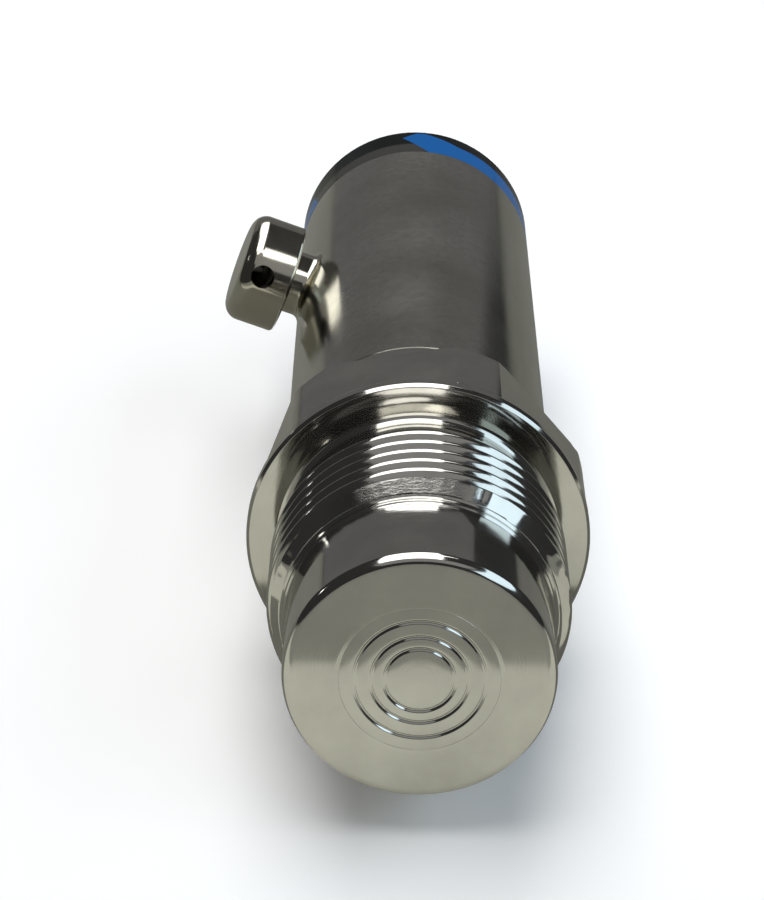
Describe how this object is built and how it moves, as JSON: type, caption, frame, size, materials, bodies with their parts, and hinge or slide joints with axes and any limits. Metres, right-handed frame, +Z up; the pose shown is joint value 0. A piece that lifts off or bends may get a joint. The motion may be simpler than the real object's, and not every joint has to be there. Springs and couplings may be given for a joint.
{
  "type": "pressure transmitter",
  "caption": "Compact stainless pressure transmitter with a flush diaphragm, parallel pipe thread, wrench hexagon, side vent and a round rear plug.",
  "frame": {"origin": "centre of the diaphragm's sealing face", "axes": "+Y along the device axis from the diaphragm towards the plug, +Z up, the vent cap on the -X side, 20 degrees above the horizontal"},
  "size_m": [0.0446, 0.1377, 0.039],
  "materials": {
    "stainless": "satin turned stainless steel",
    "foil": "satin rolled stainless foil",
    "ceramic": "dense alumina",
    "header_glass": "sealing glass",
    "gold": "gold plated",
    "silicon": "polished silicon",
    "board": "green solder mask on laminate",
    "ribbon": "amber polyimide film",
    "black_moulding": "moulded epoxy",
    "chip_ceramic": "sintered ceramic",
    "ferrite": "ferrite",
    "carrier": "natural moulded plastic",
    "spring": "bronze strip",
    "lead": "insulated wire",
    "elastomer": "smooth elastomer",
    "membrane": "white breathable film",
    "label": "glossy black with a blue and a grey band",
    "nickel": "nickel plated",
    "insert": "moulded contact carrier"
  },
  "bodies": {
    "root": {"barrier_diodes": "black_moulding", "board_capacitors": "chip_ceramic", "board_carrier": "carrier", "chip_pedestal": "header_glass", "connector_leads": "lead", "end_cap": "stainless", "end_cap_o_ring": "elastomer", "fill_ball": "nickel", "filler_ring": "ceramic", "ground_spring": "spring", "header_glass": "header_glass", "header_pins": "gold", "housing_tube": "stainless", "interface_chip": "black_moulding", "isolating_diaphragm": "foil", "label_ring": "label", "main_board": "board", "plug_insert": "insert", "plug_lock_nut": "nickel", "plug_pins": "gold", "plug_seal": "elastomer", "plug_shell": "nickel", "power_inductor": "ferrite", "pressure_chip": "silicon", "process_connection": "stainless", "processor_chip": "black_moulding", "reference_tube": "nickel", "ribbon_socket": "black_moulding", "sensor_board": "board", "sensor_body": "stainless", "sensor_header": "nickel", "sensor_ribbon": "ribbon", "vent_cap": "stainless", "vent_membrane": "membrane", "vent_o_ring": "elastomer", "vent_stem": "stainless"}
  },
  "joints": []
}
